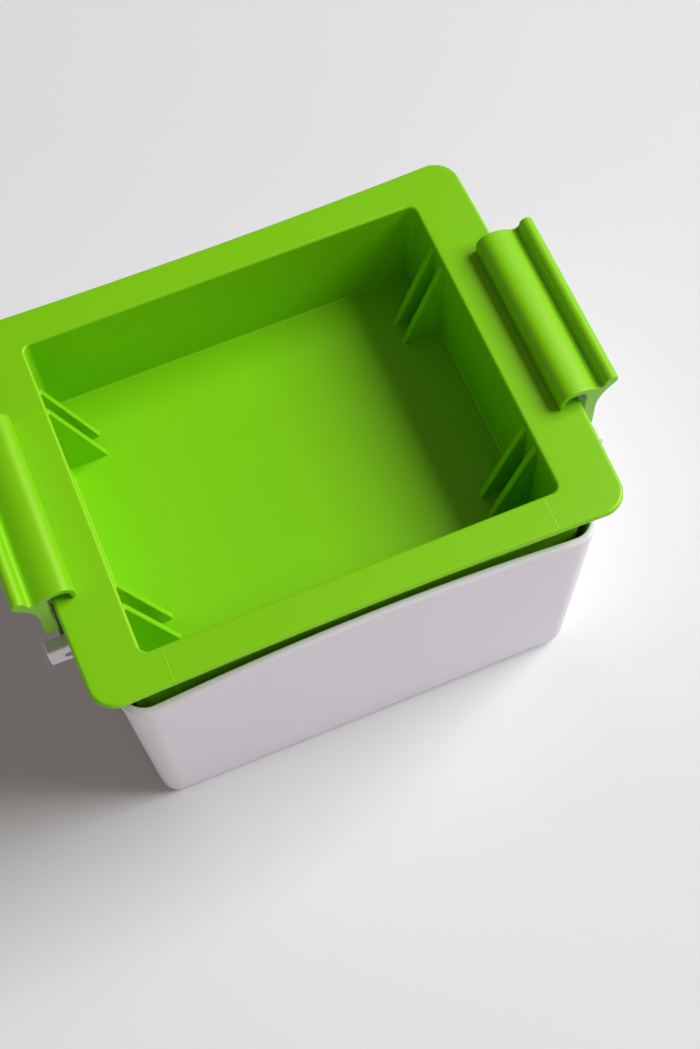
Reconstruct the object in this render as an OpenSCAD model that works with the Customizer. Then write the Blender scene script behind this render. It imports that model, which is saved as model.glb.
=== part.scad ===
// Two-tub tofu press: an outer tub that catches the water, a slotted basket that holds the
// block, and a tray-shaped press lid that two hook clips on elastic bands pull down.
// Millimetres, +Z up, origin on the table under the centre of the tub.

/* [Tub] */
// Half length of the tub at its foot, outside
tub_foot_x = 72; // [71.5:0.25:73]
// Half width of the tub at its foot, outside
tub_foot_y = 62; // [61:0.25:62.5]
// Height of the rim at the four corners
rim_h = 91; // [88:0.5:91.5]
// How far a wall leans out from foot to corner rim
lean = 3; // [2.5:0.25:3.5]
// How far the long rims arch up in the middle
arch_rise = 6.8; // [4:0.2:7]
// Wall and floor thickness of the tub
tub_wall = 2.4; // [2:0.1:2.8]

/* [Lid] */
// Length of the lid's flange
flange_l = 161.6; // [160:0.2:163]
// Width of the lid's flange
flange_w = 130; // [128:1:132]
// Corner radius of the flange
flange_r = 8; // [7:0.5:12]
// Thickness of the flange
flange_t = 2.2; // [1.8:0.1:2.6]
// Length of the tray's opening
tray_l = 126.9; // [126:0.1:128]
// Width of the tray's opening
tray_w = 105.4; // [104:0.1:106]
// Depth of the tray below the flange's top
tray_depth = 38.2; // [34:0.2:40]
// Height of the flange's top above the table, with a block in the press
lid_h = 106; // [105.6:0.1:107]

/* [Clips] */
// Length of a clip along the flange
clip_l = 60; // [50:1:64]
// Thickness of the clip's top plate and hook
clip_t = 2.6; // [2.2:0.1:3]
// Width of one elastic band
band_w = 10; // [6:1:12]
// Thickness of one elastic band
band_t = 1.8; // [1.2:0.1:2.2]

/* [Basket] */
// Height of the basket's rim above the table
basket_h = 96; // [92:1:97]
// Height of the basket's feet, the room for water
foot_h = 6; // [5:0.5:8]
// Width of a drain slot
slot_w = 3; // [2:0.5:4]

/* [Hidden] */
$fn = 72;
eps = 0.01;

WHITE = [0.93, 0.92, 0.93];
LIME = [0.45, 0.78, 0.02];
SILICONE = [0.86, 0.87, 0.86];
STEEL = [0.72, 0.73, 0.75];

// Tub: corner centres, slant of the walls, and the rounding of rim and foot
tub_foot_r = 6.25;
tub_cx = tub_foot_x - tub_foot_r;
tub_cy = tub_foot_y - tub_foot_r;
slant = atan(lean / rim_h);
foot_r = 3;
floor_fillet_r = 1.5;
sole_inset = 8;
sole_r = 4;
sole_depth = 0.8;
// The arch of a long rim: one arc that starts just inside the corners
arch_half = tub_cx - 2;
arch_r = (arch_half * arch_half + arch_rise * arch_rise) / (2 * arch_rise);

// Brackets on the tub's end walls, which carry the pins
cheek_t = 4.3;
cheek_gap = clip_l + 0.8;
cheek_out = flange_l / 2 + 7.9;
cheek_top = lid_h - 19.7;
cheek_low_out = lid_h - 29.4;
cheek_low_in = lid_h - 31.6;
cheek_r = 1.4;

// Pin, and the bar that is moulded in the clip, both seen from the flange's outer top edge
pin_r = 1.5;
pin_x = flange_l / 2 + 1.8;
pin_z = lid_h - 25.4;
pin_l = clip_l + 2 * cheek_t - 1.6;
bar_r = 1.5;
bar_x = flange_l / 2 + 4.2;
bar_z = lid_h - 12.2;
band_y = 16;
fit = 0.05;

// Clip section, from the flange's outer top edge: out along x, up along y
hook_c = [-0.7, 1.7];
hook_r = 4.7;
tip_r = clip_t / 2;
plate_z = hook_c[1] + hook_r - clip_t;
leg_in = 2.2;
leg_out = 6.3;
leg_low = -17.3;
leg_fillet = 1.6;
crown_r = 18;
crown_x = 3;
crown_top = 6.75;
groove_x = 7.3;
lip_c = [11.3, 7.6];
under_r = 28;
under_z = -11.5;
notch_w = band_w + 2.4;
notch_top = -8;

// Lid: tray corners and ribs
tray_r = 2.5;
tray_wall = 2;
tray_floor = 2.2;
tray_lean = 1.3;
tray_cx = tray_l / 2 - tray_r;
tray_cy = tray_w / 2 - tray_r;
tray_z = lid_h - tray_depth;
tray_slant = atan(tray_lean / tray_depth);
tray_edge_r = 0.8;
tray_foot_r = 2;
rib_y = [29.85, 37.1];
rib_t = 1.8;
rib_reach = 12;
rib_top = lid_h - 1;

// Basket: corners, walls and drain slots
basket_wall = 1.8;
basket_floor = 2;
basket_lean = 2.4;
basket_r = 1.2;
basket_cx = 65.4;
basket_cy = 54.4;
basket_z = tub_wall + foot_h;
basket_slant = atan(basket_lean / (basket_h - basket_z));
basket_lip = 1;
basket_foot_r = 2;
foot_pad_r = 5;
floor_slot_l = 24;
floor_slot_step = 12;
wall_slot_l = 36;
wall_slot_z = 38;
wall_slot_step = 12;

// Sweeps a flat section round a rounded rectangle whose corner centres are at (cx, cy).
// In the section, x is the distance out from those centres and y is the height.
module around(cx, cy, long_sides = true) {
    for (turn = [0:3]) {
        ax = turn % 2 == 0 ? cx : cy;
        ay = turn % 2 == 0 ? cy : cx;
        rotate([0, 0, 90 * turn]) translate([ax, ay, 0]) {
            rotate_extrude(angle = 90) children();
            if (long_sides || turn % 2 == 0) rotate([90, 0, 0]) linear_extrude(2 * ay) children();
        }
    }
}

// A flat plate with round corners, its corner centres at (cx, cy)
module plate(cx, cy, r, t) {
    linear_extrude(t) {
        square([2 * cx, 2 * (cy + r)], center = true);
        square([2 * (cx + r), 2 * cy], center = true);
        for (x = [-cx, cx], y = [-cy, cy]) translate([x, y]) circle(r);
    }
}

// A bar of width 2 r with round ends, from a to b
module stadium(a, b, r) {
    d = b - a;
    translate(a) circle(r);
    translate(b) circle(r);
    translate(a) rotate(atan2(d[1], d[0])) translate([0, -r]) square([norm(d), 2 * r]);
}

// The inside corner that a fillet of radius r leaves, in the quadrant x > 0, y > 0
module fillet(r) {
    difference() {
        square(r);
        translate([r, r]) circle(r);
    }
}

// ---- Outer tub ----

// Section of floor and wall, with the wall cut level at the height given
module tub_section(height) {
    difference() {
        union() {
            intersection() {
                translate([tub_foot_r, 0]) rotate(-slant) translate([-tub_wall, -1]) square([tub_wall, 2 * rim_h]);
                square([2 * tub_foot_r, height]);
            }
            square([tub_foot_r, tub_wall]);
            translate([tub_foot_r - tub_wall + 0.1, tub_wall - eps]) mirror([1, 0]) fillet(floor_fillet_r);
        }
        translate([tub_foot_r, 0]) mirror([1, 0]) difference() {
            translate([-1, -1]) square(foot_r + 1);
            translate([foot_r, foot_r]) circle(foot_r);
        }
    }
}

// Outline of a long wall seen from its side, with the corner rim at y = 0
module arch_outline() {
    translate([-tub_cx - 1, -rim_h - 1]) square([2 * tub_cx + 2, rim_h + 1]);
    intersection() {
        translate([0, arch_rise - arch_r]) circle(arch_r);
        translate([-tub_cx, -1]) square([2 * tub_cx, arch_rise + 2]);
    }
}

// A long wall, whose rim arches up
module arched_wall() {
    intersection() {
        translate([-tub_cx, tub_cy, 0]) rotate([90, 0, 90]) linear_extrude(2 * tub_cx)
            tub_section(rim_h + arch_rise + 1);
        translate([0, tub_cy + 2 * tub_foot_r, rim_h]) rotate([90, 0, 0]) linear_extrude(3 * tub_foot_r)
            arch_outline();
    }
}

// One ear of a bracket, with the hole for the pin
module cheek() {
    root = tub_foot_x + 1;
    translate([0, cheek_gap / 2 + cheek_t, 0]) rotate([90, 0, 0]) linear_extrude(cheek_t) difference() {
        polygon([[root, cheek_low_in], [root, cheek_top], [cheek_out, cheek_top],
                 [cheek_out, cheek_low_out], [cheek_out - 4, cheek_low_out]]);
        translate([cheek_out, cheek_top]) rotate(180) fillet(cheek_r);
        translate([cheek_out, cheek_low_out]) rotate(90) fillet(cheek_r);
        translate([pin_x, pin_z]) circle(pin_r);
    }
}

module outer_tub() {
    color(WHITE) difference() {
        union() {
            around(tub_cx, tub_cy, long_sides = false) tub_section(rim_h);
            translate([-tub_cx, -tub_cy, 0]) cube([2 * tub_cx, 2 * tub_cy, tub_wall]);
            for (s = [0, 1]) mirror([0, s, 0]) arched_wall();
            for (sx = [0, 1], sy = [0, 1]) mirror([sx, 0, 0]) mirror([0, sy, 0]) cheek();
        }
        translate([0, 0, -eps]) plate(tub_foot_x - sole_inset - sole_r, tub_foot_y - sole_inset - sole_r,
            sole_r, sole_depth);
    }
}

// ---- Strainer basket ----

// Section of floor, wall and rim, with the wall cut level at the rim's height
module basket_section() {
    outer = basket_r + basket_wall;
    difference() {
        union() {
            intersection() {
                translate([outer, basket_z]) rotate(-basket_slant)
                    translate([-basket_wall, 0]) square([basket_wall, basket_h]);
                square([2 * outer + basket_lean, basket_h]);
            }
            translate([0, basket_z]) square([outer, basket_floor]);
            translate([outer + basket_lean - basket_wall / 2, basket_h - basket_wall])
                square([basket_wall / 2 + basket_lip, basket_wall]);
        }
        translate([outer, basket_z]) mirror([1, 0]) difference() {
            translate([-1, -1]) square(basket_foot_r + 1);
            translate([basket_foot_r, basket_foot_r]) circle(basket_foot_r);
        }
    }
}

// A slot with round ends, l long, cut along z from the origin
module slot(l, depth) {
    linear_extrude(depth) stadium([0, -l / 2 + slot_w / 2], [0, l / 2 - slot_w / 2], slot_w / 2);
}

module strainer_basket() {
    color(LIME) difference() {
        union() {
            around(basket_cx, basket_cy) basket_section();
            translate([-basket_cx, -basket_cy, basket_z]) cube([2 * basket_cx, 2 * basket_cy, basket_floor]);
            for (x = [-54, 0, 54], y = [-44, 44]) translate([x, y, tub_wall])
                cylinder(r = foot_pad_r, h = foot_h + eps);
            translate([0, 0, tub_wall]) cylinder(r = foot_pad_r, h = foot_h + eps);
        }
        for (i = [-4:4], y = [-28, 28]) translate([i * floor_slot_step, y, basket_z - 1])
            slot(floor_slot_l, basket_floor + 2);
        for (i = [-4:4], s = [0, 1]) mirror([0, s, 0])
            translate([i * wall_slot_step, basket_cy, wall_slot_z]) rotate([90, 0, 180])
            slot(wall_slot_l, 10);
        for (i = [-3:3], s = [0, 1]) mirror([s, 0, 0])
            translate([basket_cx, i * wall_slot_step, wall_slot_z]) rotate([90, 0, 90])
            slot(wall_slot_l, 10);
    }
}

// ---- Press lid ----

module tray_section() {
    foot = tray_r - tray_lean;
    difference() {
        union() {
            translate([foot, tray_z]) rotate(-tray_slant) translate([0, -tray_floor])
                square([tray_wall, tray_depth + tray_floor - flange_t / 2]);
            translate([0, tray_z - tray_floor]) square([foot + tray_wall - 0.1, tray_floor]);
            translate([foot + 0.05, tray_z - eps]) mirror([1, 0]) fillet(foot);
        }
        translate([foot + tray_wall, tray_z - tray_floor]) mirror([1, 0]) difference() {
            translate([-1, -1]) square(tray_foot_r + 1);
            translate([tray_foot_r, tray_foot_r]) circle(tray_foot_r);
        }
    }
}

module rib() {
    foot_x = tray_l / 2 - tray_lean - rib_reach;
    rotate([90, 0, 0]) translate([0, 0, -rib_t / 2]) linear_extrude(rib_t)
        polygon([[foot_x, tray_z - 1], [foot_x, tray_z], [tray_l / 2 - 0.6, rib_top],
                 [tray_l / 2 + 1, rib_top], [tray_l / 2 - 0.2, tray_z - 1]]);
}

module press_lid() {
    flange_cx = flange_l / 2 - flange_r;
    flange_cy = flange_w / 2 - flange_r;
    color(LIME) {
        difference() {
            union() {
                around(flange_cx, flange_cy) {
                    translate([0, lid_h - flange_t]) square([flange_r - flange_t / 2, flange_t]);
                    translate([flange_r - flange_t / 2, lid_h - flange_t / 2]) circle(flange_t / 2);
                }
                translate([-flange_cx, -flange_cy, lid_h - flange_t]) cube([2 * flange_cx, 2 * flange_cy, flange_t]);
            }
            translate([0, 0, lid_h - flange_t - 1]) plate(tray_cx, tray_cy, tray_r, flange_t + 2);
            around(tray_cx, tray_cy) translate([tray_r - eps, lid_h + eps]) mirror([0, 1]) fillet(tray_edge_r);
        }
        around(tray_cx, tray_cy) tray_section();
        translate([-tray_cx, -tray_cy, tray_z - tray_floor]) cube([2 * tray_cx, 2 * tray_cy, tray_floor]);
        for (y = rib_y, sx = [0, 1], sy = [0, 1]) mirror([sx, 0, 0]) mirror([0, sy, 0])
            translate([0, y, 0]) rib();
    }
}

// ---- Clips, bands and pins ----

module clip_section() {
    // Hook: a quarter ring that ends in a round tip on the flange
    intersection() {
        translate(hook_c) difference() {
            circle(hook_r);
            circle(hook_r - clip_t);
        }
        translate(hook_c - [hook_r, 0]) square(hook_r + eps);
    }
    translate(hook_c - [hook_r - tip_r, 0]) circle(tip_r);
    // Top plate with a slight crown
    translate([hook_c[0], plate_z]) square([groove_x - hook_c[0], clip_t - 0.1]);
    intersection() {
        translate([crown_x, crown_top - crown_r]) circle(crown_r, $fn = 180);
        translate([hook_c[0], plate_z]) square([groove_x - hook_c[0], 2 * clip_t]);
    }
    // Leg and finger lip: the lip's underside runs into the leg in one long arc
    difference() {
        union() {
            translate([leg_in, leg_low]) square([leg_out - leg_in, plate_z - leg_low + 1]);
            polygon([[leg_in, under_z], [leg_in, plate_z + 1], [groove_x, crown_top - 0.5],
                     lip_c + tip_r * [cos(132), sin(132)], lip_c + tip_r * [cos(-35), sin(-35)],
                     [leg_out + 6, under_z]]);
            translate(lip_c) circle(tip_r);
        }
        translate([leg_out + under_r, under_z]) circle(under_r, $fn = 240);
        translate([leg_out, leg_low - 1]) square([8, under_z - leg_low + 1]);
    }
    translate([leg_in + eps, plate_z + eps]) rotate(180) fillet(leg_fillet);
}

module clip() {
    color(LIME) {
        translate([flange_l / 2, clip_l / 2, lid_h]) rotate([90, 0, 0]) difference() {
            linear_extrude(clip_l) clip_section();
            for (s = [-1, 1]) translate([leg_in - 1, leg_low - 1, clip_l / 2 + s * band_y - notch_w / 2])
                cube([leg_out - leg_in + 2, notch_top - leg_low + 1, notch_w]);
        }
        for (s = [-1, 1]) translate([bar_x, s * band_y + notch_w / 2 + 1, bar_z]) rotate([90, 0, 0])
            cylinder(r = bar_r, h = notch_w + 2);
    }
}

// One elastic loop, round the pin and the clip's bar
module band(side_y) {
    color(SILICONE) translate([0, side_y + band_w / 2, 0]) rotate([90, 0, 0]) linear_extrude(band_w) difference() {
        stadium([pin_x, pin_z], [bar_x, bar_z], pin_r + fit + band_t);
        stadium([pin_x, pin_z], [bar_x, bar_z], pin_r + fit);
    }
}

module pin() {
    color(STEEL) translate([pin_x, pin_l / 2, pin_z]) rotate([90, 0, 0]) cylinder(r = pin_r, h = pin_l);
}

outer_tub();
strainer_basket();
press_lid();
mirror([1, 0, 0]) clip();  // clip_left
clip();  // clip_right
mirror([1, 0, 0]) band(-band_y);  // band_left_front
mirror([1, 0, 0]) band(band_y);  // band_left_back
band(-band_y);  // band_right_front
band(band_y);  // band_right_back
mirror([1, 0, 0]) pin();  // pin_left
pin();  // pin_right
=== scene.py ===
"""Looks of a two-tub tofu press: lid, basket, hook clips, tub, elastic loops, pins and a plain studio."""

import math

import bmesh
import bpy
from bpy.props import FloatProperty, FloatVectorProperty, PointerProperty
from mathutils import Matrix, Vector


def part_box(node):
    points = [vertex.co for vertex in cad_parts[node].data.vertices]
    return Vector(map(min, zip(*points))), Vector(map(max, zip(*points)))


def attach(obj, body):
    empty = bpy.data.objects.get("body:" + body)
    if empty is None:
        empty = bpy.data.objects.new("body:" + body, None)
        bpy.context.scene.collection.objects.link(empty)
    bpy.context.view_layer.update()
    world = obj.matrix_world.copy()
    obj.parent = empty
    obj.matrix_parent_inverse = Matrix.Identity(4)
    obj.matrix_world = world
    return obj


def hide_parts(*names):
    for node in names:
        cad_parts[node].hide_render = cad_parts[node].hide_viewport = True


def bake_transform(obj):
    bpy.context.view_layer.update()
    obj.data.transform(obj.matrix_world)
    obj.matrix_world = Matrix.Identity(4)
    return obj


bl_info = {
    "name": "Tofu press",
    "version": (1, 0, 0),
    "blender": (4, 5, 0),
    "location": "3D View > Sidebar > Tofu press",
    "description": "Builds the moulded lid, tubs, clips and loops of a tofu press round its CAD frame",
    "category": "Add Mesh",
}

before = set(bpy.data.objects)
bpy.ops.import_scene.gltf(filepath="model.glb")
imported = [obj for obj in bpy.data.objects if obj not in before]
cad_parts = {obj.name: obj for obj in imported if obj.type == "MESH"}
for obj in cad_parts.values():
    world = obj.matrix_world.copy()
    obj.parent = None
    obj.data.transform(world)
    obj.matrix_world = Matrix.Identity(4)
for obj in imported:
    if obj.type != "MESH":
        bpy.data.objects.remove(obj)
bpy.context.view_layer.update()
LID_LOW, LID_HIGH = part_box("press_lid")
TUB_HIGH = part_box("outer_tub")[1]
CLIP_LOW, CLIP_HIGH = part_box("clip_right")
PIN_LOW, PIN_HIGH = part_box("pin_right")
PIN_CENTRE = (PIN_LOW + PIN_HIGH) / 2
PIN_RADIUS = (PIN_HIGH.z - PIN_LOW.z) / 2
MM = 0.001
TUB_FOOT_X = 72 * MM
TUB_FOOT_Y = 62 * MM
BORE_RADIUS = 1.5 * MM
# The bar in a clip's leg: its place out from and below the flange's outer top edge
BAR_RADIUS = 1.5 * MM
BAR_OUT = 4.2 * MM
BAR_DOWN = 12.2 * MM
CAMERA_ROLL = -3.11
SIDES = (-1, 1)
SIDE_NAMES = {-1: "left", 1: "right"}
END_NAMES = {-1: "front", 1: "back"}


def length(name, default, description):
    """A size property in metres."""
    return FloatProperty(
        name=name, description=description, default=default, unit="LENGTH", precision=5
    )


def colour(name, default, description):
    """A colour property."""
    return FloatVectorProperty(
        name=name, description=description, default=default, subtype="COLOR", size=3, min=0, max=1
    )


# ---- Sizes and colours ----


class LidSizes(bpy.types.PropertyGroup):
    """Sizes of the tray-shaped press lid."""

    flange_radius: length("Flange corner", 8 * MM, "Corner radius of the flange")
    flange_thickness: length("Flange thickness", 2.2 * MM, "Thickness of the flange")
    tray_length: length("Tray length", 126.9 * MM, "Length of the tray's opening")
    tray_width: length("Tray width", 105.4 * MM, "Width of the tray's opening")
    tray_radius: length("Tray corner", 2.5 * MM, "Corner radius of the tray's opening")
    wall: length("Wall", 2 * MM, "Wall thickness of the tray")
    floor: length("Floor", 2.2 * MM, "Floor thickness of the tray")
    lean: length("Wall lean", 0.25 * MM, "How far a tray wall leans in at the floor")
    end_bow: length("End bow", 0.9 * MM, "How far the flange's ends bow out")
    side_bow: length("Side bow", 1.2 * MM, "How far the flange's long sides bow in")
    rib_reach: length("Rib reach", 12.7 * MM, "How far a gusset rib reaches over the floor")
    rib_thickness: length("Rib thickness", 2.2 * MM, "Thickness of a gusset rib")
    rib_inner: length("Inner rib", 29.85 * MM, "Distance of the inner ribs from the middle")
    rib_outer: length("Outer rib", 37.1 * MM, "Distance of the outer ribs from the middle")
    seam: length("Seam", 58 * MM, "Distance of the mould seams from the middle of the front flange")


class TubSizes(bpy.types.PropertyGroup):
    """Sizes of the outer tub."""

    foot_radius: length("Foot corner", 6.25 * MM, "Corner radius of the tub at its foot")
    lean: length("Wall lean", 3 * MM, "How far a wall leans out from foot to corner rim")
    wall: length("Wall", 2.4 * MM, "Wall and floor thickness")
    arch: length("Arch", 6.8 * MM, "How far the long rims arch up")
    foot_round: length("Foot rounding", 4 * MM, "Rounding between the walls and the sole")
    ear_thickness: length("Ear thickness", 4.3 * MM, "Thickness of an ear that holds a pin")


class ClipSizes(bpy.types.PropertyGroup):
    """Sizes of a hook clip and its elastic loops."""

    hook_radius: length("Hook radius", 4.3 * MM, "Outer radius at the hook's shoulder")
    thickness: length("Thickness", 1.7 * MM, "Thickness of the hook at its tip")
    edge: length("End rounding", 0.55 * MM, "Rounding of the edges at a clip's ends")
    band_width: length("Loop width", 10 * MM, "Width of an elastic loop")
    band_thickness: length("Loop thickness", 1.8 * MM, "Thickness of an elastic loop")
    band_place: length("Loop place", 16 * MM, "Distance of a loop from the middle of its clip")


class Colours(bpy.types.PropertyGroup):
    """Colours of the press and of the studio."""

    lime: colour("Lime", (0.198, 0.615, 0.0), "Moulded lid, clips and basket")
    white: colour("White", (0.87, 0.83, 0.89), "Moulded outer tub")
    silicone: colour("Silicone", (0.66, 0.67, 0.65), "Elastic loops")
    # steel darker than bare steel: painted shade for the pins, which sit in the shade of the lid and clips
    steel: colour("Steel", (0.42, 0.42, 0.44), "Pins")
    table: colour("Table", (0.82, 0.83, 0.84), "Floor of the studio")


# ---- Materials ----


def new_group(name, inputs, outputs):
    """An empty shader node group with the named sockets, and its input and output nodes."""
    group = bpy.data.node_groups.new(name, "ShaderNodeTree")
    for socket_name, kind, value in inputs:
        socket = group.interface.new_socket(socket_name, in_out="INPUT", socket_type=kind)
        if value is not None:
            socket.default_value = value
    for socket_name, kind in outputs:
        group.interface.new_socket(socket_name, in_out="OUTPUT", socket_type=kind)
    return group, group.nodes.new("NodeGroupInput"), group.nodes.new("NodeGroupOutput")


def add(tree, kind, links=None, **settings):
    """Adds a node, sets its properties and its sockets' values, and links its inputs."""
    node = tree.nodes.new(kind)
    for key, value in settings.items():
        setattr(node, key, value)
    for key, source in (links or {}).items():
        if isinstance(source, bpy.types.NodeSocket):
            tree.links.new(source, node.inputs[key])
        else:
            node.inputs[key].default_value = source
    return node


def make_moulded_surface():
    """Fine grain of a spark-eroded mould with slow flow marks: a roughness and a height."""
    group, given, result = new_group(
        "moulded_surface",
        [
            ("Roughness", "NodeSocketFloat", 0.35),
            ("Variation", "NodeSocketFloat", 0.08),
            ("Grain Scale", "NodeSocketFloat", 2600.0),
            ("Flow Scale", "NodeSocketFloat", 22.0),
        ],
        [("Roughness", "NodeSocketFloat"), ("Height", "NodeSocketFloat")],
    )
    place = add(group, "ShaderNodeTexCoord")
    grain = add(
        group,
        "ShaderNodeTexNoise",
        {"Vector": place.outputs["Object"], "Scale": given.outputs["Grain Scale"], "Detail": 3.0},
    )
    flow = add(
        group,
        "ShaderNodeTexNoise",
        {"Vector": place.outputs["Object"], "Scale": given.outputs["Flow Scale"], "Detail": 2.0},
    )
    centred = add(group, "ShaderNodeMath", {0: flow.outputs["Fac"], 1: 0.5}, operation="SUBTRACT")
    change = add(
        group, "ShaderNodeMath", {0: centred.outputs[0], 1: given.outputs["Variation"]}, operation="MULTIPLY"
    )
    rough = add(
        group, "ShaderNodeMath", {0: change.outputs[0], 1: given.outputs["Roughness"]}, operation="ADD"
    )
    height = add(
        group,
        "ShaderNodeMath",
        {0: flow.outputs["Fac"], 1: 6.0, 2: grain.outputs["Fac"]},
        operation="MULTIPLY_ADD",
    )
    group.links.new(rough.outputs[0], result.inputs["Roughness"])
    group.links.new(height.outputs[0], result.inputs["Height"])
    return group


def make_tone_drift():
    """Slow drift between a colour and a second one, as pigment streaks in a moulding."""
    group, given, result = new_group(
        "tone_drift",
        [
            ("Color", "NodeSocketColor", (0.5, 0.5, 0.5, 1)),
            ("Second Color", "NodeSocketColor", (0.5, 0.5, 0.5, 1)),
            ("Amount", "NodeSocketFloat", 0.5),
            ("Scale", "NodeSocketFloat", 14.0),
        ],
        [("Color", "NodeSocketColor")],
    )
    place = add(group, "ShaderNodeTexCoord")
    streak = add(
        group,
        "ShaderNodeTexNoise",
        {
            "Vector": place.outputs["Object"], "Scale": given.outputs["Scale"],
            "Detail": 4.0, "Distortion": 0.6,
        },
    )
    share = add(
        group, "ShaderNodeMath", {0: streak.outputs["Fac"], 1: given.outputs["Amount"]}, operation="MULTIPLY"
    )
    mix = add(
        group,
        "ShaderNodeMix",
        {"Factor": share.outputs[0], "A": given.outputs["Color"], "B": given.outputs["Second Color"]},
        data_type="RGBA",
    )
    group.links.new(mix.outputs["Result"], result.inputs["Color"])
    return group


def make_painted_edge_highlight():
    """Painted highlight: mixes a lighter colour in where the surface is sharply convex, as light catching
    the edges.
    """
    group, given, result = new_group(
        "painted_edge_highlight",
        [
            ("Color", "NodeSocketColor", (0.5, 0.5, 0.5, 1)),
            ("Edge Color", "NodeSocketColor", (0.6, 0.6, 0.6, 1)),
            ("Amount", "NodeSocketFloat", 0.4),
        ],
        [("Color", "NodeSocketColor")],
    )
    geometry = add(group, "ShaderNodeNewGeometry")
    sharp = add(
        group,
        "ShaderNodeMapRange",
        {"Value": geometry.outputs["Pointiness"], "From Min": 0.53, "From Max": 0.66},
    )
    share = add(
        group, "ShaderNodeMath", {0: sharp.outputs[0], 1: given.outputs["Amount"]}, operation="MULTIPLY"
    )
    mix = add(
        group,
        "ShaderNodeMix",
        {"Factor": share.outputs[0], "A": given.outputs["Color"], "B": given.outputs["Edge Color"]},
        data_type="RGBA",
    )
    group.links.new(mix.outputs["Result"], result.inputs["Color"])
    return group


def place_group(tree, name, links):
    """Places a shared group in a material with its own values."""
    node = add(tree, "ShaderNodeGroup", node_tree=bpy.data.node_groups[name])
    for key, source in links.items():
        if isinstance(source, bpy.types.NodeSocket):
            tree.links.new(source, node.inputs[key])
        else:
            node.inputs[key].default_value = source
    return node


def tinted(rgb, factor):
    """A colour made lighter or darker."""
    return tuple(min(1.0, c * f) for c, f in zip(rgb, factor)) + (1.0,)


def finish_name(slot):
    """The name of a slot's finish; the frame's own plain materials already have the slots' names."""
    return f"{slot}_finish"


def surface_material(slot, rgb, second, edge, roughness, grain, bump, shader_values):
    """A procedural material: drifting tone, painted edge highlights and moulded grain on a Principled
    shader.
    """
    material = bpy.data.materials.new(finish_name(slot))
    material.use_nodes = True
    tree = material.node_tree
    shader = tree.nodes["Principled BSDF"]
    tone = place_group(
        tree, "tone_drift",
        {"Color": tinted(rgb, (1, 1, 1)), "Second Color": tinted(rgb, second), "Amount": 0.8},
    )
    # painted highlight: sharply convex edges are mixed towards a lighter edge colour
    edge_highlighted = place_group(
        tree, "painted_edge_highlight", {"Color": tone.outputs["Color"], "Edge Color": tinted(rgb, edge), "Amount": 0.5}
    )
    skin = place_group(
        tree, "moulded_surface", {"Roughness": roughness, "Variation": 0.12, "Grain Scale": grain}
    )
    relief = add(
        tree, "ShaderNodeBump", {"Height": skin.outputs["Height"], "Strength": bump, "Distance": 0.02 * MM}
    )
    tree.links.new(edge_highlighted.outputs["Color"], shader.inputs["Base Color"])
    tree.links.new(skin.outputs["Roughness"], shader.inputs["Roughness"])
    tree.links.new(relief.outputs["Normal"], shader.inputs["Normal"])
    for key, value in shader_values.items():
        shader.inputs[key].default_value = value
    material.diffuse_color = tinted(rgb, (1, 1, 1))
    return material


def make_materials(colours):
    """The finishes of the press, by the record's slot names."""
    make_moulded_surface()
    make_tone_drift()
    make_painted_edge_highlight()
    # each call's third factor sets the lighter colour of the painted edge highlight
    surface_material(
        "lime_plastic", colours.lime, (1.1, 1.03, 1), (1.5, 1.15, 1), 0.42, 2600.0, 0.35,
        {"Specular IOR Level": 1.0, "Specular Tint": (1.0, 0.88, 0.35, 1)},
    )
    surface_material(
        "white_plastic", colours.white, (0.97, 0.965, 0.975), (1.05, 1.05, 1.05), 0.42, 2200.0, 0.35,
        {"Specular IOR Level": 0.45},
    )
    surface_material(
        "silicone", colours.silicone, (0.93, 0.93, 0.92), (1.1, 1.1, 1.1), 0.55, 1500.0, 0.6,
        {"Specular IOR Level": 0.4},
    )
    surface_material(
        "steel", colours.steel, (0.92, 0.92, 0.94), (1.1, 1.1, 1.1), 0.28, 4000.0, 0.25,
        {"Metallic": 1.0, "Anisotropic": 0.4},
    )


# ---- Mesh helpers ----


def arc(centre, radius, start, end, steps):
    """Points on an arc, as (across, up) pairs, from start to end in degrees."""
    turns = [math.radians(start + (end - start) * i / steps) for i in range(steps + 1)]
    return [(centre[0] + radius * math.cos(a), centre[1] + radius * math.sin(a)) for a in turns]


def rounded_loop(bm, core, radius, arc_steps, long_cuts, short_cuts):
    """A rounded rectangle of edges in the XY plane, with its corner centres at core."""
    made = bmesh.ops.create_grid(bm, x_segments=1, y_segments=1, size=1)
    half = Vector((core[0] + radius, core[1] + radius, 1))
    bmesh.ops.scale(bm, vec=half, verts=made["verts"])
    bmesh.ops.bevel(
        bm, geom=made["verts"], offset=radius, offset_type="OFFSET", affect="VERTICES",
        segments=arc_steps, profile=0.5, material=-1,
    )
    bmesh.ops.delete(bm, geom=bm.faces[:], context="FACES_ONLY")
    # A straight side spans twice the core, and an edge of a corner is far shorter
    for axis, cuts in ((0, long_cuts), (1, short_cuts)):
        straight = [
            e for e in bm.edges
            if abs(e.verts[0].co[axis] - e.verts[1].co[axis]) > 1.9 * core[axis]
        ]
        bmesh.ops.subdivide_edges(bm, edges=straight, cuts=cuts)
    return bm.edges[:]


def outline_place(co, core):
    """Where a point stands on the rounded rectangle: its share of the core and its way out."""
    inner = Vector((max(-core[0], min(core[0], co.x)), max(-core[1], min(core[1], co.y))))
    out = Vector((co.x, co.y)) - inner
    share = Vector((inner.x / core[0], inner.y / core[1]))
    return share, out.normalized()


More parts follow.
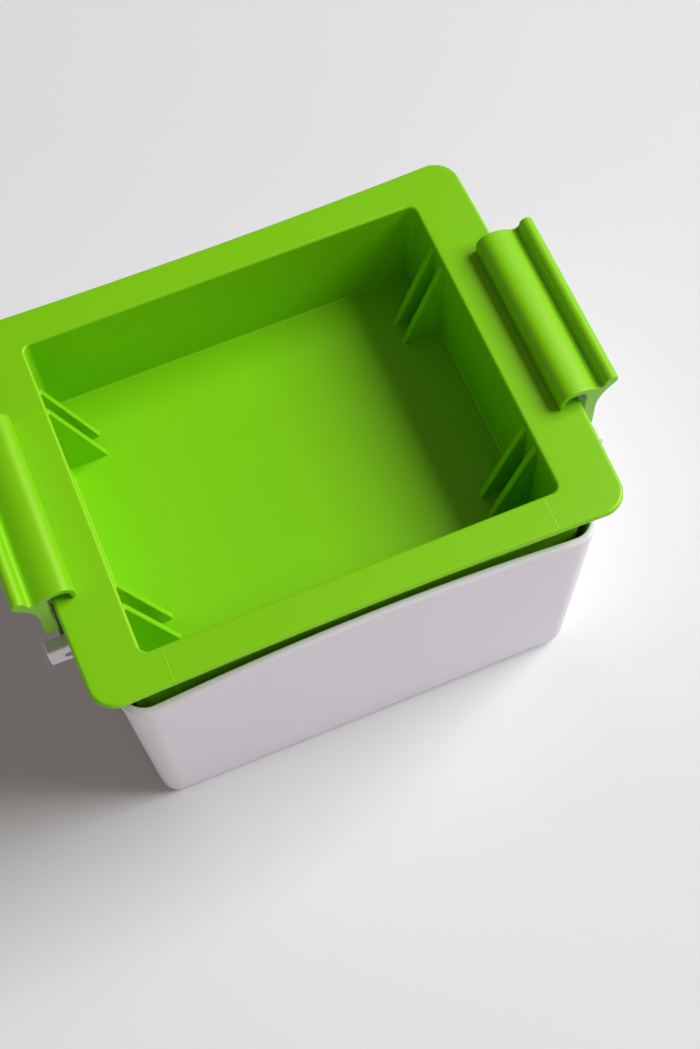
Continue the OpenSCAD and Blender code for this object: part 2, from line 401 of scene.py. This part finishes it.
def sweep(bm, loop, core, stations):
    """Extrudes the loop through stations of (core, out, height) and returns the last loop.
    height is a number, or a function of the share of the core and the way out; out is a number,
    or a function of those two and the height."""
    verts = sorted({v for e in loop for v in e.verts}, key=lambda v: v.index)
    for number, (next_core, out, height) in enumerate(stations):
        if number:
            made = bmesh.ops.extrude_edge_only(bm, edges=loop)["geom"]
            verts = [g for g in made if isinstance(g, bmesh.types.BMVert)]
            fresh = set(verts)
            loop = [g for g in made if isinstance(g, bmesh.types.BMEdge) and fresh.issuperset(g.verts)]
        for v in verts:
            share, way = outline_place(v.co, core)
            z = height(share, way) if callable(height) else height
            spread = out(share, way, z) if callable(out) else out
            v.co = Vector(
                (share.x * next_core[0] + way.x * spread, share.y * next_core[1] + way.y * spread, z)
            )
        core = next_core
    return loop


def close_loop(bm, loop):
    """Fills a flat loop of edges with one face."""
    bmesh.ops.contextual_create(bm, geom=loop)


def add_prism(bm, points, axis_low, axis_high, bevel, segments=2):
    """A beveled prism: points are (x, z) pairs, and it spans from axis_low to axis_high along Y."""
    verts = [bm.verts.new((x, axis_low, z)) for x, z in points]
    face = bm.faces.new(verts)
    made = bmesh.ops.extrude_face_region(bm, geom=[face])["geom"]
    moved = [g for g in made if isinstance(g, bmesh.types.BMVert)]
    bmesh.ops.translate(bm, verts=moved, vec=(0, axis_high - axis_low, 0))
    edges = {e for v in verts + moved for e in v.link_edges}
    sharp = [e for e in edges if e.calc_face_angle(0) > math.radians(25)]
    if bevel:
        bmesh.ops.bevel(
            bm, geom=sharp, offset=bevel, offset_type="OFFSET", affect="EDGES", segments=segments,
            profile=0.5, material=-1, clamp_overlap=True,
        )


def add_rod(bm, radius, low, high, place, bevel=0.0, segments=32):
    """A rod along Y with its axis at place = (x, z)."""
    turn = Matrix.Rotation(math.radians(90), 4, "X")
    middle = Matrix.Translation((place[0], (low + high) / 2, place[1]))
    made = bmesh.ops.create_cone(
        bm, cap_ends=True, segments=segments, radius1=radius, radius2=radius, depth=high - low,
        matrix=middle @ turn,
    )
    if bevel:
        rim = [
            e for e in {e for v in made["verts"] for e in v.link_edges}
            if e.calc_face_angle(0) > math.radians(60)
        ]
        bmesh.ops.bevel(
            bm, geom=rim, offset=bevel, offset_type="OFFSET", affect="EDGES", segments=3,
            profile=0.5, material=-1,
        )


def mirror_x(bm):
    """Turns a right-hand piece into the left-hand one."""
    bmesh.ops.scale(bm, vec=(-1, 1, 1), verts=bm.verts)
    bmesh.ops.reverse_faces(bm, faces=bm.faces)


def mesh_object(name, bm):
    """Makes an object of the bmesh, with its normals pointing outwards."""
    bmesh.ops.recalc_face_normals(bm, faces=bm.faces)
    mesh = bpy.data.meshes.new(name)
    bm.to_mesh(mesh)
    bm.free()
    made = bpy.data.objects.new(name, mesh)
    bpy.context.scene.collection.objects.link(made)
    return made


def cut(target, cutter):
    """Takes the cutter's shape out of the target, and removes the cutter."""
    modifier = target.modifiers.new("cut", "BOOLEAN")
    modifier.operation = "DIFFERENCE"
    modifier.solver = "EXACT"
    modifier.object = cutter
    bpy.context.view_layer.update()
    shaped = target.evaluated_get(bpy.context.evaluated_depsgraph_get())
    mesh = bpy.data.meshes.new_from_object(shaped)
    target.modifiers.clear()
    target.data = mesh
    bpy.data.objects.remove(cutter)


def finish_piece(piece, body, nodes, slot, smooth_angle=38):
    """Gives a piece its finish, its body and the CAD nodes that it stands for."""
    piece.data.materials.clear()
    piece.data.materials.append(bpy.data.materials[finish_name(slot)])
    piece.data.shade_smooth()
    piece.data.set_sharp_from_angle(angle=math.radians(smooth_angle))
    weighted = piece.modifiers.new("weighted normals", "WEIGHTED_NORMAL")
    weighted.keep_sharp = True
    weighted.weight = 60
    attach(piece, body)
    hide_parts(*nodes)
    return piece


# ---- Pieces ----


def lid_stations(sizes):
    """The lid's skin, from the tray's floor over the flange and down its outside to the bottom."""
    tray_core = (
        sizes.tray_length / 2 - sizes.tray_radius,
        sizes.tray_width / 2 - sizes.tray_radius,
    )
    flange_core = (LID_HIGH.x - sizes.flange_radius, LID_HIGH.y - sizes.flange_radius)
    top, bottom = LID_HIGH.z, LID_LOW.z
    floor = bottom + sizes.floor
    depth = top - floor
    foot = sizes.tray_radius - sizes.lean
    floor_round, mouth_round, edge_round, under_round = 0.6 * MM, 0.9 * MM, 1.1 * MM, 1.2 * MM
    foot_round = 2.2 * MM

    def lean_at(z):
        return foot + sizes.lean * (z - floor) / depth

    def bowed(out):
        def spread(share, way, z):
            ends = sizes.end_bow * (1 - share.y**2) * abs(way.x)
            long_sides = sizes.side_bow * (1 - share.x**2) * abs(way.y)
            return out + ends - long_sides

        return spread

    inner = arc((foot - floor_round, floor + floor_round), floor_round, -90, 0, 4)
    steps = [floor + depth * k for k in (0.15, 0.4, 0.65, 0.85)]
    inner += [(lean_at(z), z) for z in steps]
    mouth = sizes.tray_radius + mouth_round
    inner += arc((mouth, top - mouth_round), mouth_round, 180, 90, 5)
    stations = [(tray_core, out, z) for out, z in inner]
    stations += [(tray_core, mouth + 1.5 * MM, top)]
    rim = sizes.flange_radius
    flange = [(rim - 4 * MM, top)]
    flange += arc((rim - edge_round, top - edge_round), edge_round, 90, -60, 8)
    low = top - sizes.flange_thickness
    flange += [(rim - 2 * MM, low), (rim - 5 * MM, low)]
    stations += [(flange_core, bowed(out), z) for out, z in flange]
    wall_out = sizes.tray_radius + sizes.wall
    stations += [(tray_core, wall_out + 3 * MM, low)]
    outer = arc((wall_out + under_round, low - under_round), under_round, 90, 180, 4)
    outer += [(lean_at(z) + sizes.wall, z) for z in reversed(steps[:3])]
    foot_out = foot + sizes.wall
    outer += arc((foot_out - foot_round, bottom + foot_round), foot_round, 0, -90, 5)
    stations += [(tray_core, out, z) for out, z in outer]
    return tray_core, stations


def add_ribs(bm, sizes):
    """Eight gusset ribs that stiffen the tray's end walls."""
    floor = LID_LOW.z + sizes.floor
    wall = sizes.tray_length / 2
    foot_x = wall - sizes.lean - sizes.rib_reach
    crest, crest_length = LID_HIGH.z - 1.2 * MM, 0.5 * MM
    sunk, toe, into_wall, edge = 0.6 * MM, 0.3 * MM, 0.9 * MM, 0.45 * MM
    for side in SIDES:
        for row in (-sizes.rib_outer, -sizes.rib_inner, sizes.rib_inner, sizes.rib_outer):
            points = [
                (side * foot_x, floor - sunk),
                (side * foot_x, floor + toe),
                (side * (wall - crest_length), crest),
                (side * (wall + into_wall), crest),
                (side * (wall - sizes.lean + into_wall), floor - sunk),
            ]
            half = sizes.rib_thickness / 2
            add_prism(bm, points, row - half, row + half, edge, 3)


def add_seams(bm, sizes):
    """Two fine parting lines of the mould across the front flange."""
    top = LID_HIGH.z
    width, height, foot_spread = 0.24 * MM, 0.08 * MM, 2.2
    inner_margin, outer_margin = 1.2 * MM, 0.6 * MM
    inner = sizes.tray_width / 2 + inner_margin
    outer = LID_HIGH.y - sizes.side_bow * 0.5 - outer_margin
    for side in SIDES:
        made = bmesh.ops.create_cube(bm, size=1)["verts"]
        bmesh.ops.scale(bm, vec=(width, outer - inner, height), verts=made)
        lower = [v for v in made if v.co.z < 0]
        bmesh.ops.scale(bm, vec=(foot_spread, 1, 1), verts=lower)
        bmesh.ops.translate(bm, verts=made, vec=(side * sizes.seam, -(inner + outer) / 2, top))


def build_lid(sizes):
    """The press lid: a tray with a flange, gusset ribs and parting lines, all one moulding."""
    bm = bmesh.new()
    tray_core, stations = lid_stations(sizes)
    loop = rounded_loop(bm, tray_core, sizes.tray_radius, 8, 24, 18)
    close_loop(bm, loop)
    last = sweep(bm, loop, tray_core, stations)
    close_loop(bm, last)
    add_ribs(bm, sizes)
    add_seams(bm, sizes)
    return finish_piece(mesh_object("lid", bm), "lid", ["press_lid"], "lime_plastic")


def tub_stations(sizes):
    """The tub's skin, from the recess in its sole up the outside, over the rim and down the inside."""
    core = (
        TUB_FOOT_X - sizes.foot_radius,
        TUB_FOOT_Y - sizes.foot_radius,
    )
    crest = TUB_HIGH.z
    rim = crest - sizes.arch
    arch_half = core[0] - 1 * MM
    slope = sizes.lean / rim
    arch_from = rim - 40 * MM
    bead_proud = 0.5 * MM
    straight_heights = (12 * MM, 30 * MM)
    arched_heights = (51 * MM, 66 * MM, 80 * MM)

    def arched(z):
        share_up = max(0.0, min(1.0, (z - arch_from) / (rim - arch_from)))

        def height(share, way):
            x = share.x * core[0]
            lift = sizes.arch * max(0.0, 1 - (x / arch_half) ** 2) * way.y**2
            return z + lift * share_up

        return height

    def wall_out(inset):
        def spread(share, way, z):
            return sizes.foot_radius + slope * z - inset

        return spread

    sole_core = (TUB_FOOT_X - 12 * MM, TUB_FOOT_Y - 12 * MM)
    stations = [(sole_core, 3.4 * MM, 0.8 * MM), (sole_core, 4 * MM, 0.5 * MM), (sole_core, 4.2 * MM, 0.0)]
    round_r = sizes.foot_round
    foot = arc((sizes.foot_radius - bead_proud - round_r, round_r), round_r, -90, -4, 6)
    stations += [(core, out, z) for out, z in foot]
    stations += [(core, wall_out(bead_proud), z) for z in straight_heights]
    stations += [(core, wall_out(bead_proud), arched(z)) for z in arched_heights]
    bead_z = rim - 3.0 * MM
    stations += [(core, wall_out(bead_proud), arched(bead_z - 0.5 * MM))]
    stations += [(core, wall_out(0.16 * MM), arched(bead_z + 0.2 * MM))]
    stations += [(core, wall_out(0.0), arched(bead_z + 0.9 * MM))]
    top_round, inner_round = 1.1 * MM, 0.7 * MM
    for out, z in arc((-top_round, rim - top_round), top_round, 0, 90, 5):
        stations.append((core, wall_out(-out), arched(z)))
    inner_edge = -sizes.wall + inner_round
    for out, z in arc((inner_edge, rim - inner_round), inner_round, 90, 180, 4):
        stations.append((core, wall_out(-out), arched(z)))
    for z in reversed(arched_heights):
        stations.append((core, wall_out(sizes.wall), arched(z)))
    stations += [(core, wall_out(sizes.wall), z) for z in reversed(straight_heights)]
    inner_foot = sizes.foot_radius - sizes.wall
    floor_round = 3 * MM
    inside = arc((inner_foot - floor_round, sizes.wall + floor_round), floor_round, 0, -90, 5)
    stations += [(core, out, z) for out, z in inside]
    return core, stations


def build_tub(sizes):
    """The outer tub with its arched, beaded rim."""
    bm = bmesh.new()
    core, stations = tub_stations(sizes)
    loop = rounded_loop(bm, core, sizes.foot_radius, 10, 40, 20)
    close_loop(bm, loop)
    last = sweep(bm, loop, core, stations)
    close_loop(bm, last)
    return finish_piece(mesh_object("tub", bm), "tub", ["outer_tub"], "white_plastic")


def ear_outline(side):
    """The side view of an ear: a block that tapers in to the wall underneath."""
    root, out = TUB_FOOT_X + 1 * MM, TUB_HIGH.x
    top = PIN_CENTRE.z + 5.7 * MM
    low_out, low_in = PIN_CENTRE.z - 4 * MM, PIN_CENTRE.z - 6.2 * MM
    points = [(root, low_in), (root, top), (out, top), (out, low_out), (out - 4 * MM, low_out)]
    return [(side * x, z) for x, z in points]


def build_ears(sizes):
    """Two ears at each end of the tub, bored for the pins."""
    inner = CLIP_HIGH.y + 0.4 * MM
    for side in SIDES:
        for end in SIDES:
            low, high = sorted((end * inner, end * (inner + sizes.ear_thickness)))
            bm = bmesh.new()
            add_prism(bm, ear_outline(side), low, high, 0.7 * MM, 3)
            ear = mesh_object(f"ear_{SIDE_NAMES[side]}_{END_NAMES[end]}", bm)
            bore = bmesh.new()
            add_rod(bore, BORE_RADIUS, low - 1 * MM, high + 1 * MM, (side * PIN_CENTRE.x, PIN_CENTRE.z))
            cut(ear, mesh_object("bore", bore))
            finish_piece(ear, "tub", ["outer_tub"], "white_plastic")


def build_basket():
    """The strainer basket keeps its CAD shape and gets the moulded finish."""
    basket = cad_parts["strainer_basket"]
    basket.data.materials.clear()
    basket.data.materials.append(bpy.data.materials[finish_name("lime_plastic")])


def clip_outline(sizes):
    """The clip's section round its edge, out from the flange's outer top edge, as (x, z) pairs."""
    tip, tip_z, hook_left = sizes.thickness / 2, 1.25 * MM, -6.6 * MM
    hook_r = sizes.hook_radius
    crown_r, crown = 12 * MM, (-2 * MM, -4.4 * MM)
    hook_x = hook_left + hook_r
    hook_turn = math.degrees(math.acos((hook_x - crown[0]) / (crown_r - hook_r)))
    hook = (hook_x, crown[1] + (crown_r - hook_r) * math.sin(math.radians(hook_turn)))
    inner, plate = 2.6 * MM, 5.3 * MM
    groove, groove_r = (6 * MM, 6.3 * MM), 1.3 * MM
    lip, lip_r = (9.55 * MM, 6.75 * MM), 2.15 * MM
    leg_in, leg_out, leg_low = 1.75 * MM, 5.8 * MM, -17.3 * MM
    under_r, under_z = 14.5 * MM, -6 * MM
    fillet = 2.3 * MM
    foot = 0.8 * MM
    crown_end = 53

    def under_angle(x):
        return math.degrees(math.acos((x - leg_out - under_r) / under_r))

    points = arc((hook_left + tip, tip_z), tip, 0, -180, 8)
    points += arc(hook, hook_r, 180, hook_turn, 10)
    points += arc(crown, crown_r, hook_turn, crown_end, 10)[1:]
    points += arc(groove, groove_r, crown_end - 180, -15, 7)
    points += arc(lip, lip_r, 176, -30, 14)
    points += arc((leg_out + under_r, under_z), under_r, under_angle(10.5 * MM), 180, 12)
    points += arc((leg_out - foot, leg_low + foot), foot, 0, -90, 3)
    points += arc((leg_in + foot, leg_low + foot), foot, -90, -180, 3)
    points += arc((leg_in - fillet, plate - fillet), fillet, 0, 90, 5)
    points += arc((hook_left + 2 * tip + inner, plate - inner), inner, 90, 180, 6)
    return points


def build_clip(side, sizes):
    """A hook clip: its hook goes over the flange, and its lip is pulled outwards to open it."""
    edge_x, top = LID_HIGH.x, LID_HIGH.z
    outline = [(edge_x + x, top + z) for x, z in clip_outline(sizes)]
    low, high = CLIP_LOW.y, CLIP_HIGH.y
    bm = bmesh.new()
    verts = [bm.verts.new((x, low, z)) for x, z in outline]
    first = bm.faces.new(verts)
    made = bmesh.ops.extrude_face_region(bm, geom=[first])["geom"]
    moved = [g for g in made if isinstance(g, bmesh.types.BMVert)]
    bmesh.ops.translate(bm, verts=moved, vec=(0, high - low, 0))
    ends = [e for e in bm.edges if abs(e.verts[0].co.y - e.verts[1].co.y) < 1e-7]
    bmesh.ops.bevel(
        bm, geom=ends, offset=sizes.edge, offset_type="OFFSET", affect="EDGES", segments=3,
        profile=0.5, material=-1,
    )
    clip = mesh_object(f"hook_clip_{SIDE_NAMES[side]}", bm)
    notch_w = sizes.band_width + 2.4 * MM
    notch = bmesh.new()
    for end in SIDES:
        middle = end * sizes.band_place
        x0, x1 = edge_x + 1 * MM, edge_x + 8 * MM
        z0, z1 = top - 20 * MM, top - 8 * MM
        add_prism(
            notch, [(x0, z0), (x0, z1), (x1, z1), (x1, z0)],
            middle - notch_w / 2, middle + notch_w / 2, 0.6 * MM, 2,
        )
    cut(clip, mesh_object("notch", notch))
    bars = bmesh.new()
    bars.from_mesh(clip.data)
    for end in SIDES:
        middle = end * sizes.band_place
        add_rod(
            bars, BAR_RADIUS, middle - notch_w / 2 - 1 * MM, middle + notch_w / 2 + 1 * MM,
            (edge_x + BAR_OUT, top - BAR_DOWN),
        )
    if side < 0:
        mirror_x(bars)
    bars.to_mesh(clip.data)
    bars.free()
    name = SIDE_NAMES[side]
    return finish_piece(clip, f"clip_{name}", [f"clip_{name}"], "lime_plastic")


def build_band(side, end, sizes):
    """One elastic loop round the pin and the clip's bar."""
    inner = BAR_RADIUS + 0.05 * MM
    mid_r = inner + sizes.band_thickness / 2
    bar = Vector((LID_HIGH.x + BAR_OUT, 0, LID_HIGH.z - BAR_DOWN))
    pin = Vector((PIN_CENTRE.x, 0, PIN_CENTRE.z))
    reach = (bar - pin).length / 2
    core = (reach, 0.02 * MM)
    bm = bmesh.new()
    loop = rounded_loop(bm, core, mid_r, 12, 8, 0)
    half_t, half_w, edge = sizes.band_thickness / 2, sizes.band_width / 2, 0.5 * MM
    section = arc((half_t - edge, half_w - edge), edge, 0, 90, 3)
    section += arc((edge - half_t, half_w - edge), edge, 90, 180, 3)
    section += arc((edge - half_t, edge - half_w), edge, 180, 270, 3)
    section += arc((half_t - edge, edge - half_w), edge, 270, 360, 3)
    last = sweep(bm, loop, core, [(core, mid_r + out, z) for out, z in section])
    bmesh.ops.bridge_loops(bm, edges=loop + last)
    lie = Matrix.Rotation(math.radians(90), 4, "X")
    lean = Matrix.Rotation(-math.atan2(bar.z - pin.z, bar.x - pin.x), 4, "Y")
    middle = Matrix.Translation((pin + bar) / 2 + Vector((0, end * sizes.band_place, 0)))
    bmesh.ops.transform(bm, matrix=middle @ lean @ lie, verts=bm.verts)
    if side < 0:
        mirror_x(bm)
    name = f"{SIDE_NAMES[side]}_{END_NAMES[end]}"
    band = mesh_object(f"loop_{name}", bm)
    band.data.materials.append(bpy.data.materials[finish_name("silicone")])
    band.data.shade_smooth()
    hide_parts(f"band_{name}")
    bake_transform(band)
    return band


def build_pin(side):
    """A drawn rod with broken edges, held in the two ears."""
    name = SIDE_NAMES[side]
    bm = bmesh.new()
    add_rod(bm, PIN_RADIUS, PIN_LOW.y, PIN_HIGH.y, (side * PIN_CENTRE.x, PIN_CENTRE.z), 0.3 * MM)
    return finish_piece(mesh_object(f"rod_{name}", bm), "tub", [f"pin_{name}"], "steel")


# ---- Studio ----


def build_floor(rgb):
    """A pale table top that reaches past the view on all sides."""
    bm = bmesh.new()
    bmesh.ops.create_grid(bm, x_segments=8, y_segments=8, size=3.0)
    floor = mesh_object("table_top", bm)
    material = bpy.data.materials.new("table_top")
    material.use_nodes = True
    tree = material.node_tree
    shader = tree.nodes["Principled BSDF"]
    tone = place_group(
        tree, "tone_drift",
        {"Color": tinted(rgb, (1, 1, 1)), "Second Color": tinted(rgb, (0.97, 0.97, 0.975)), "Scale": 3.0},
    )
    tree.links.new(tone.outputs["Color"], shader.inputs["Base Color"])
    shader.inputs["Roughness"].default_value = 0.6
    shader.inputs["Specular IOR Level"].default_value = 0.2
    floor.data.materials.append(material)


def add_area_light(name, place, aim, size, power, tint):
    """A soft rectangular light that looks at a point."""
    light = bpy.data.lights.new(name, "AREA")
    light.shape = "RECTANGLE"
    light.size, light.size_y = size
    light.energy = power
    light.color = tint
    lamp = bpy.data.objects.new(name, light)
    lamp.location = place
    lamp.rotation_euler = (Vector(aim) - Vector(place)).to_track_quat("-Z", "Y").to_euler()
    bpy.context.scene.collection.objects.link(lamp)


def build_lights():
    """A large window at the right, a weak fill in front, and a warm room seen as a grey wall."""
    add_area_light(
        "window", place=(2.95, -0.17, 3.03), aim=(0, 0, 0.06), size=(2.9, 2.2), power=208.0,
        tint=(0.985, 0.99, 1.0),
    )
    add_area_light(
        "fill", place=(-0.5, -2.3, 0.7), aim=(0, 0, 0.05), size=(1.6, 1.0), power=4.5,
        tint=(0.98, 0.96, 1.0),
    )
    world = bpy.data.worlds.new("studio")
    world.use_nodes = True
    tree = world.node_tree
    room = tree.nodes["Background"]
    room.inputs["Color"].default_value = (1.0, 0.84, 0.73, 1)
    room.inputs["Strength"].default_value = 0.15
    horizon, overhead = (0.55, 0.55, 0.55, 1), (0.14, 0.13, 0.12, 1)
    place = add(tree, "ShaderNodeTexCoord")
    way = add(tree, "ShaderNodeSeparateXYZ", {"Vector": place.outputs["Generated"]})
    upward = add(tree, "ShaderNodeMapRange", {"Value": way.outputs["Z"], "From Min": 0.05, "From Max": 0.4})
    shade = add(
        tree, "ShaderNodeMix",
        {"Factor": upward.outputs[0], "A": horizon, "B": overhead}, data_type="RGBA",
    )
    wall = add(tree, "ShaderNodeBackground", {"Color": shade.outputs["Result"], "Strength": 1.0})
    path = add(tree, "ShaderNodeLightPath")
    seen = add(
        tree, "ShaderNodeMath", {0: path.outputs["Is Camera Ray"], 1: path.outputs["Is Glossy Ray"]},
        operation="MAXIMUM",
    )
    seen = add(
        tree, "ShaderNodeMath", {0: seen.outputs[0], 1: path.outputs["Is Transmission Ray"]},
        operation="MAXIMUM",
    )
    mix = add(
        tree, "ShaderNodeMixShader",
        {0: seen.outputs[0], 1: room.outputs["Background"], 2: wall.outputs["Background"]},
    )
    tree.links.new(mix.outputs[0], tree.nodes["World Output"].inputs["Surface"])
    bpy.context.scene.world = world


def build_camera():
    """The photograph's view: from the front left, high above the lid."""
    place = Vector((-65.75 * MM, -235.11 * MM, LID_HIGH.z + 459.98 * MM))
    aim = Vector((4.28 * MM, -39.32 * MM, LID_HIGH.z))
    lens = bpy.data.cameras.new("camera")
    lens.lens = 61.1
    lens.sensor_width = 36.0
    lens.clip_start = 0.05
    camera = bpy.data.objects.new("camera", lens)
    camera.location = place
    turn = (aim - place).to_track_quat("-Z", "Y")
    roll = Matrix.Rotation(math.radians(CAMERA_ROLL), 4, "Z")
    camera.rotation_euler = (turn.to_matrix().to_4x4() @ roll).to_euler()
    bpy.context.scene.collection.objects.link(camera)
    bpy.context.scene.camera = camera


# ---- Operators ----


class PRESS_OT_materials(bpy.types.Operator):
    """Makes the plastics, the silicone and the steel"""

    bl_idname = "press.materials"
    bl_label = "Make materials"

    def execute(self, context):
        make_materials(context.scene.press_colours)
        return {"FINISHED"}


class PRESS_OT_lid(bpy.types.Operator):
    """Builds the press lid"""

    bl_idname = "press.lid"
    bl_label = "Build lid"

    def execute(self, context):
        build_lid(context.scene.press_lid_sizes)
        return {"FINISHED"}


class PRESS_OT_tubs(bpy.types.Operator):
    """Builds the outer tub with its ears and finishes the strainer basket"""

    bl_idname = "press.tubs"
    bl_label = "Build tubs"

    def execute(self, context):
        build_tub(context.scene.press_tub_sizes)
        build_ears(context.scene.press_tub_sizes)
        build_basket()
        return {"FINISHED"}


class PRESS_OT_clips(bpy.types.Operator):
    """Builds both hook clips"""

    bl_idname = "press.clips"
    bl_label = "Build clips"

    def execute(self, context):
        for side in SIDES:
            build_clip(side, context.scene.press_clip_sizes)
        return {"FINISHED"}


class PRESS_OT_loops(bpy.types.Operator):
    """Builds the four elastic loops and the two pins"""

    bl_idname = "press.loops"
    bl_label = "Build loops and pins"

    def execute(self, context):
        for side in SIDES:
            build_pin(side)
            for end in SIDES:
                build_band(side, end, context.scene.press_clip_sizes)
        return {"FINISHED"}


class PRESS_OT_stage(bpy.types.Operator):
    """Sets up the table top, the lights and the camera"""

    bl_idname = "press.stage"
    bl_label = "Set the stage"

    def execute(self, context):
        build_floor(context.scene.press_colours.table)
        build_lights()
        build_camera()
        context.scene.view_settings.view_transform = "Standard"
        return {"FINISHED"}


class PRESS_PT_sidebar(bpy.types.Panel):
    """Sizes, colours and build steps of the tofu press"""

    bl_idname = "PRESS_PT_sidebar"
    bl_label = "Tofu press"
    bl_space_type = "VIEW_3D"
    bl_region_type = "UI"
    bl_category = "Tofu press"

    def draw(self, context):
        scene = context.scene
        for group in (getattr(scene, name) for name in GROUPS):
            box = self.layout.box()
            for name in group.__annotations__:
                box.prop(group, name)
        for operator in OPERATORS:
            self.layout.operator(operator.bl_idname)


GROUPS = {
    "press_lid_sizes": LidSizes,
    "press_tub_sizes": TubSizes,
    "press_clip_sizes": ClipSizes,
    "press_colours": Colours,
}
OPERATORS = (
    PRESS_OT_materials,
    PRESS_OT_lid,
    PRESS_OT_tubs,
    PRESS_OT_clips,
    PRESS_OT_loops,
    PRESS_OT_stage,
)


def register():
    """Registers the properties, the operators and the panel."""
    for name, group in GROUPS.items():
        bpy.utils.register_class(group)
        setattr(bpy.types.Scene, name, PointerProperty(type=group))
    for cls in (*OPERATORS, PRESS_PT_sidebar):
        bpy.utils.register_class(cls)


def unregister():
    """Removes what register added."""
    for cls in (PRESS_PT_sidebar, *reversed(OPERATORS)):
        bpy.utils.unregister_class(cls)
    for name, group in GROUPS.items():
        delattr(bpy.types.Scene, name)
        bpy.utils.unregister_class(group)


def main():
    """Builds everything."""
    register()
    bpy.ops.press.materials()
    bpy.ops.press.lid()
    bpy.ops.press.tubs()
    bpy.ops.press.clips()
    bpy.ops.press.loops()
    bpy.ops.press.stage()


if __name__ == "__main__":
    main()
